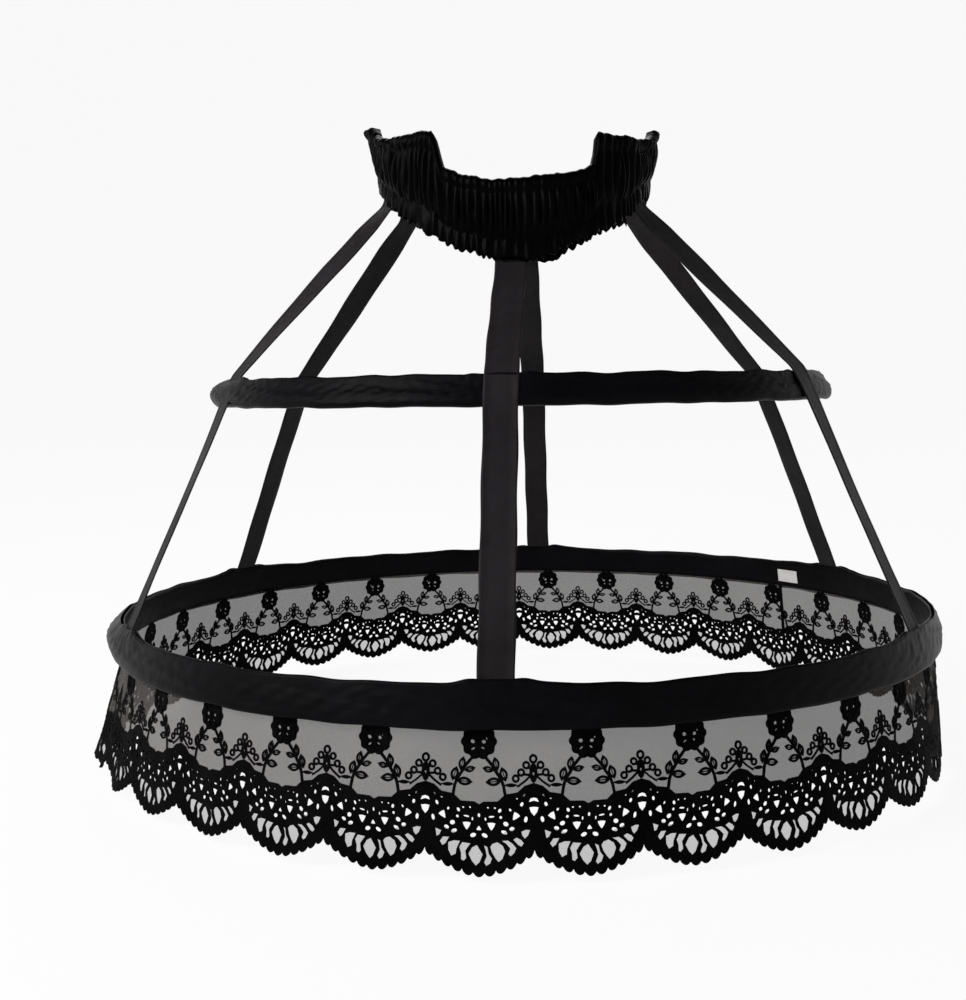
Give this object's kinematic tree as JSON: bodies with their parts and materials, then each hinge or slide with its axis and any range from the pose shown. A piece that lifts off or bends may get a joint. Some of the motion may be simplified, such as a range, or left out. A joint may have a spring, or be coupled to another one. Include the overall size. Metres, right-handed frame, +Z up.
{
  "type": "crinoline cage",
  "caption": "Black hooped petticoat cage: an elastic waistband carries tapes to a middle hoop and a hem hoop with a scalloped lace edge.",
  "frame": {"origin": "middle of the waist opening, at the height where the elastic waistband goes round the wearer", "axes": "+Z up through the waist opening, as worn; -Y is the front; +X is towards the viewer's right from the front"},
  "size_m": [0.56, 0.56, 0.4111],
  "materials": {
    "gathered_satin": "black polyester satin, gathered, soft sheen",
    "satin": "black polyester satin, soft sheen",
    "woven_tape": "black double-faced woven ribbon",
    "lace": "black embroidery on fine net",
    "elastic": "black woven elastic",
    "hoop_steel": "plastic-coated spring steel strip",
    "sleeve_steel": "plain pressed steel",
    "label_ribbon": "blank white ribbon"
  },
  "bodies": {
    "root": {"waistband": "gathered_satin", "waist_elastic": "elastic", "mid_casing": "satin", "hem_casing": "satin", "mid_hoop": "hoop_steel", "hem_hoop": "hoop_steel", "mid_sleeve": "sleeve_steel", "hem_sleeve": "sleeve_steel", "lace_trim": "lace", "care_label": "label_ribbon", "tape_front": "woven_tape", "tape_front_right": "woven_tape", "tape_back_right": "woven_tape", "tape_back": "woven_tape", "tape_back_left": "woven_tape", "tape_front_left": "woven_tape"}
  },
  "joints": []
}
